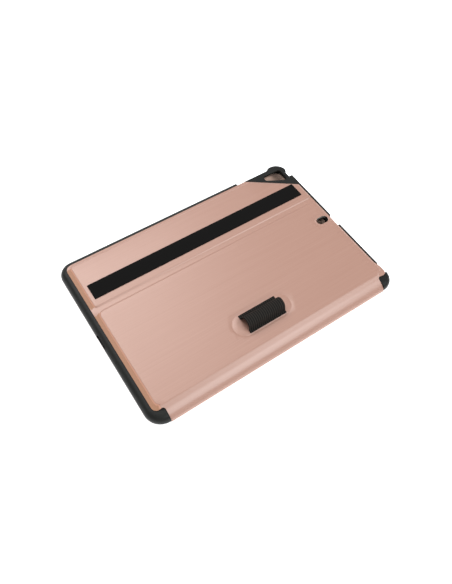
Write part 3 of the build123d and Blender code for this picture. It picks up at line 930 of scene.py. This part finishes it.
def make_front_lining():
    """The lining from inside the spine, down over the fold, up on to the board and across it."""
    x0, x1, y0, y1, radius = FRONT
    inset = LINING_INSET
    section = smooth_path(LINING_FOLD, 4)
    bend = Bend(section)
    low = section[-1].x - bend.total
    flat_start = section[-1].x

    def place(x, y):
        if y < flat_start and abs(x) < FOLD_HALF:
            spot = bend(bend.total - (flat_start - y))
            return at(x, spot.x, spot.y)
        distance = -rectangle_distance(x, y, x0 + inset, x1 - inset, y0 + inset, y1 - inset, radius - inset)
        return at(x, y, LINING_TOP - LINING_THICKNESS * quarter_roll(distance, LINING_ROLL))

    left, right = SPINE_LEFT + 1.2, SPINE_RIGHT - 1.2
    corners = [
        (left, low, 0.01),
        (right, low, 0.01),
        (right, flat_start, 0.01),
        (x1 - inset, flat_start, 6.0),
        (x1 - inset, y1 - inset, radius - inset),
        (x0 + inset, y1 - inset, radius - inset),
        (x0 + inset, flat_start, 6.0),
        (left, flat_start, 0.01),
    ]
    outline = rounded_loop(corners, 0.0, 4.0)
    sheet = rectangle(x0 + inset, x1 - inset, flat_start + 0.5, y1 - inset, radius - inset)
    rings = [rounded_loop(sheet, d, 5.0) for d in (0.15, 0.4, 0.8)]
    fold_lines = [low + i * 0.45 for i in range(1, 17)]
    lines = [line(left + 0.1, y, right - 0.1, y, 6.0) for y in fold_lines]
    flat = flat_mesh(outline, [], rings, lines, 9.0, lambda p: p.y < flat_start + 1)
    made = sheet_object("front_cover_lining", flat, place, LINING_THICKNESS, 1)
    dress(made, SUEDE)
    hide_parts("front_lining")
    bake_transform(made)


make_front_lining()

# ---------------------------------------------------------------- the glued linings

GLUE_GAP = 0.02
FELT_GAP = 3.3
FELT_ROLL = 0.14
SUEDE_INSET = 1.0
SUEDE_THICKNESS = 0.35
SUEDE_ROLL = 0.12
SPINE_SUEDE_THICKNESS = 0.28
SPINE_SUEDE_START = 2.2
SPINE_SUEDE_LENGTH = 11.5
SPINE_SUEDE_STEPS = 24


def make_tray_felt():
    """The soft sheet that the tablet's back lies on, seen from the front side of the tray."""
    low, high = box_from_ridge("tray_lining")
    corners = cut_rectangle(low.x, high.x, low.y, high.y, FELT_GAP, 4.0, (2.0, 2.0), 4.0)
    outline = rounded_loop(corners, 0.0, 4.0)
    slot_corners = rectangle(SLOT[0] - 0.3, SLOT[1] + 0.3, SLOT[2] - 0.3, SLOT[3] + 0.3, 4.0)
    slot = rounded_loop(slot_corners, 0.0, 2.0, 8)
    slot_y = (SLOT[2] + SLOT[3]) / 2

    def clear_of_slot(point):
        return point.x < SLOT[0] - 1 or abs(point.y - slot_y) > 6

    def place(x, y):
        inside = -rectangle_distance(x, y, low.x, high.x, low.y, high.y, 4.0)
        rim = min(inside, -chamfer_distance(x, y) - FELT_GAP)
        return at(x, y, low.z + FELT_ROLL * (1 - smooth(rim, 0.0, 0.6)))

    lines = []
    for inset in (0.25, 0.6):
        lines += open_chains(rounded_loop(corners, inset, 4.0), clear_of_slot)
    flat = flat_mesh(outline, [slot], [], lines, 8.0)
    made = sheet_object("tray_felt", flat, place, high.z - low.z - GLUE_GAP, -1)
    dress(made, FELT)
    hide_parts("tray_lining")
    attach(made, "tray")


def make_flap_suede():
    """The sheet under the stand flap, which faces the tray and shows when the flap folds."""
    low, high = box_from_ridge("flap_lining")
    inset = SUEDE_INSET
    x0, x1, y0, y1 = low.x + inset, high.x - inset, low.y + 0.6, high.y - inset
    corners = cut_rectangle(x0, x1, y0, y1, inset, 0.5, (2.4, 2.4), 3.0)
    outline = rounded_loop(corners, 0.0, 4.0)
    lines = [closed_chain(rounded_loop(corners, rim, 4.0)) for rim in (0.15, 0.3)]

    def place(x, y):
        rim = min(-rectangle_distance(x, y, x0, x1, y0, y1, 0.5), -chamfer_distance(x, y) - inset)
        return at(x, y, low.z + SUEDE_ROLL * (1 - smooth(rim, 0.0, 0.35)))

    flat = flat_mesh(outline, [], [], lines, 8.0)
    made = sheet_object("flap_suede", flat, place, SUEDE_THICKNESS, -1)
    dress(made, SUEDE)
    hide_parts("flap_lining")
    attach(made, "stand_flap")


def make_spine_suede():
    """The strip glued inside the spine's slope."""
    half = SPINE_HALF - 1
    across = across_width(half, [0, 0.4, 1, 3, 8, 20, 40, 70, 110])
    bend = Bend(SPINE_PATH)
    rows = []
    for step in range(SPINE_SUEDE_STEPS + 1):
        distance = SPINE_SUEDE_START + SPINE_SUEDE_LENGTH * step / SPINE_SUEDE_STEPS
        spot = bend(distance)
        run = (bend(distance + 0.3) - bend(distance - 0.3)).normalized()
        inward = Vector((-run.y, run.x)) * (SKIN + GLUE_GAP)
        rows.append([at(SPINE_MIDDLE + x, spot.x + inward.x, spot.y + inward.y) for x in across])
    made = grid_object("spine_suede", rows)
    thicken_inward(made, SPINE_SUEDE_THICKNESS)
    dress(made, SUEDE)
    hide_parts("spine_lining")
    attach(made, "spine")


make_tray_felt()
make_flap_suede()
make_spine_suede()

# ---------------------------------------------------------------- the pen loop and the strap


def tangent_point(foot, centre, radius, turn):
    """Where a straight run from a foot meets a circle, on the side that turn (1 or -1) picks."""
    across, up = centre[0] - foot[0], centre[1] - foot[1]
    distance = math.hypot(across, up)
    angle = math.atan2(up, across) + turn * math.asin(radius / distance)
    length = math.sqrt(distance ** 2 - radius ** 2)
    return (foot[0] + length * math.cos(angle), foot[1] + length * math.sin(angle))


PEN_CENTRE = (22.0, 4.8)
PEN_RADIUS = 4.7
ELASTIC_THICKNESS = 1.1
ARCH_STEPS = 24
RIB_STEPS = 6
RIB_HEIGHT = 0.26


def loop_path():
    """The middle line of the elastic's section, from the near foot over the pen to the far foot."""
    near_foot, far_foot = LOOP_LOW.y + 2.2, LOOP_HIGH.y - 3.6
    middle = ELASTIC_THICKNESS / 2
    radius = PEN_RADIUS + middle
    first = tangent_point((near_foot, middle), PEN_CENTRE, radius, 1)
    last = tangent_point((far_foot, middle), PEN_CENTRE, radius, -1)
    start = math.atan2(first[1] - PEN_CENTRE[1], first[0] - PEN_CENTRE[0])
    end = math.atan2(last[1] - PEN_CENTRE[1], last[0] - PEN_CENTRE[0])
    near = [
        (LOOP_LOW.y + 0.05, middle),
        (near_foot - 0.9, middle),
        (near_foot - 0.25, middle + 0.1),
        (near_foot + 0.12, middle + 0.45),
    ]
    far = [
        (far_foot, middle + 0.45),
        (far_foot + 0.5, middle + 0.08),
        (far_foot + 1.6, middle),
        (LOOP_HIGH.y - 0.05, middle),
    ]
    path = [Vector(p) for p in near]
    path += [Vector((near_foot, middle)).lerp(Vector(first), t) for t in (0.3, 0.6)]
    for step in range(ARCH_STEPS + 1):
        angle = start + (end - start) * step / ARCH_STEPS
        y = PEN_CENTRE[0] + radius * math.cos(angle)
        z = PEN_CENTRE[1] + radius * math.sin(angle)
        path.append(Vector((y, z)))
    path += [Vector(last).lerp(Vector((far_foot, middle)), t) for t in (0.4, 0.75)]
    return path + [Vector(p) for p in far]


def make_pen_loop():
    """The elastic over the pen, with ribs that run round it and a thinner edge at each end."""
    path = loop_path()
    columns = LOOP_RIBS * RIB_STEPS
    length = LOOP_HIGH.x - LOOP_LOW.x
    normals = []
    for index in range(len(path)):
        before, after = path[max(index - 1, 0)], path[min(index + 1, len(path) - 1)]
        run = (after - before).normalized()
        normals.append(Vector((-run.y, run.x)))
    rows = []
    for column in range(columns + 1):
        x = LOOP_LOW.x + length * column / columns
        edge = min(1.0, min(column, columns - column) / 3)
        rib = RIB_HEIGHT * abs(math.sin(math.pi * column / RIB_STEPS)) ** 0.8
        half = ELASTIC_THICKNESS / 2 * (0.55 + 0.45 * math.sqrt(edge))
        outer = [p + n * (half - RIB_HEIGHT + rib) for p, n in zip(path, normals)]
        inner = [p - n * half for p, n in zip(path, normals)]
        ring = outer + list(reversed(inner))
        rows.append([at(x, p.x, p.y) for p in ring])
    made = grid_object("elastic_loop", rows, tube=True)
    dress(made, ELASTIC)
    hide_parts("pen_loop")
    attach(made, "tray")
    Bend(path).total


make_pen_loop()


STRAP_PITCH = 0.65
STRAP_RIB = 0.035
STRAP_END_DIP = 0.35
STRAP_EDGE_ROLL = 0.28
STRAP_STEPS = 16


def make_strap():
    """The flat band across the flap, with cross ribs, rolled edges and ends that dip to the skin."""
    low, high = box_from_ridge("flap_strap")
    width = high.y - low.y
    rows = []
    columns = int((high.x - low.x) / STRAP_PITCH)
    for column in range(columns + 1):
        x = low.x + (high.x - low.x) * column / columns
        dip = STRAP_END_DIP * (1 - smooth(min(x - low.x, high.x - x), 0.0, 1.2))
        top = high.z + STRAP_RIB * math.cos(math.pi * column) - dip
        ring = []
        for step in range(STRAP_STEPS + 1):
            part = step / STRAP_STEPS
            edge = min(part, 1 - part) * width
            ring.append((low.y + width * part, top - STRAP_EDGE_ROLL * (1 - smooth(edge, 0.0, 0.8))))
        ring += [(high.y, 0.05), ((low.y + high.y) / 2, 0.02), (low.y, 0.05)]
        rows.append([at(x, y, z) for y, z in ring])
    made = grid_object("woven_strap", rows, tube=True)
    dress(made, WEAVE)
    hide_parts("flap_strap")
    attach(made, "stand_flap")


make_strap()

# ---------------------------------------------------------------- floor, light and camera

FLOOR_REACH = 4.0
CAMERA_PLACE = (-169.1, -146.5, 415.1)
CAMERA_FORWARD = (0.3188, 0.4211, -0.8491)
CAMERA_UP = (0.4563, 0.7170, 0.5269)
CAMERA_LENS = 33.79


def make_floor():
    mesh = bpy.data.meshes.new("floor")
    r = FLOOR_REACH
    mesh.from_pydata([(-r, -r, 0), (r, -r, 0), (r, r, 0), (-r, r, 0)], [], [(0, 1, 2, 3)])
    look = material("white_paper", (0.95, 0.95, 0.95), 0.9, specular=0.0)
    shader = look.node_tree.nodes["Principled BSDF"]
    shader.inputs["Emission Color"].default_value = (1, 1, 1, 1)
    shader.inputs["Emission Strength"].default_value = 0.8
    made = add_object("floor", mesh)
    made.data.materials.append(look)


def area_light(name, place, aim, size, power, color=(1, 1, 1)):
    data = bpy.data.lights.new(name, "AREA")
    data.shape = "RECTANGLE"
    data.size, data.size_y = size
    data.energy = power
    data.color = color
    made = add_object(name, data)
    made.location = place
    made.rotation_mode = "QUATERNION"
    made.rotation_quaternion = (Vector(aim) - Vector(place)).to_track_quat("-Z", "Y")


def make_world(strength):
    world = bpy.data.worlds.new("studio")
    world.use_nodes = True
    background = world.node_tree.nodes["Background"]
    background.inputs["Color"].default_value = (1, 1, 1, 1)
    background.inputs["Strength"].default_value = strength
    bpy.context.scene.world = world


def make_camera():
    """Looks down at the case from the charging port's side and the spine's side."""
    data = bpy.data.cameras.new("camera")
    data.sensor_fit = "AUTO"
    data.sensor_width = 36.0
    data.lens = CAMERA_LENS
    data.clip_start = 0.01
    data.clip_end = 50
    forward = Vector(CAMERA_FORWARD).normalized()
    right = forward.cross(Vector(CAMERA_UP)).normalized()
    up = right.cross(forward)
    turned = Matrix((right, up, -forward)).transposed().to_4x4()
    made = add_object("camera", data)
    made.matrix_world = Matrix.Translation(at(*CAMERA_PLACE)) @ turned
    bpy.context.scene.camera = made


make_floor()
make_world(strength=0.42)
area_light("key", (0.6, -1.05, 1.72), aim=(0, 0, 0), size=(1.6, 0.8), power=24.5, color=(0.89, 1.0, 1.04))
area_light("sheen", (-0.15, 1.28, 1.74), aim=(-0.1, 0, 0), size=(1.5, 1.3), power=24.5)
make_camera()
bpy.context.scene.view_settings.view_transform = "Standard"
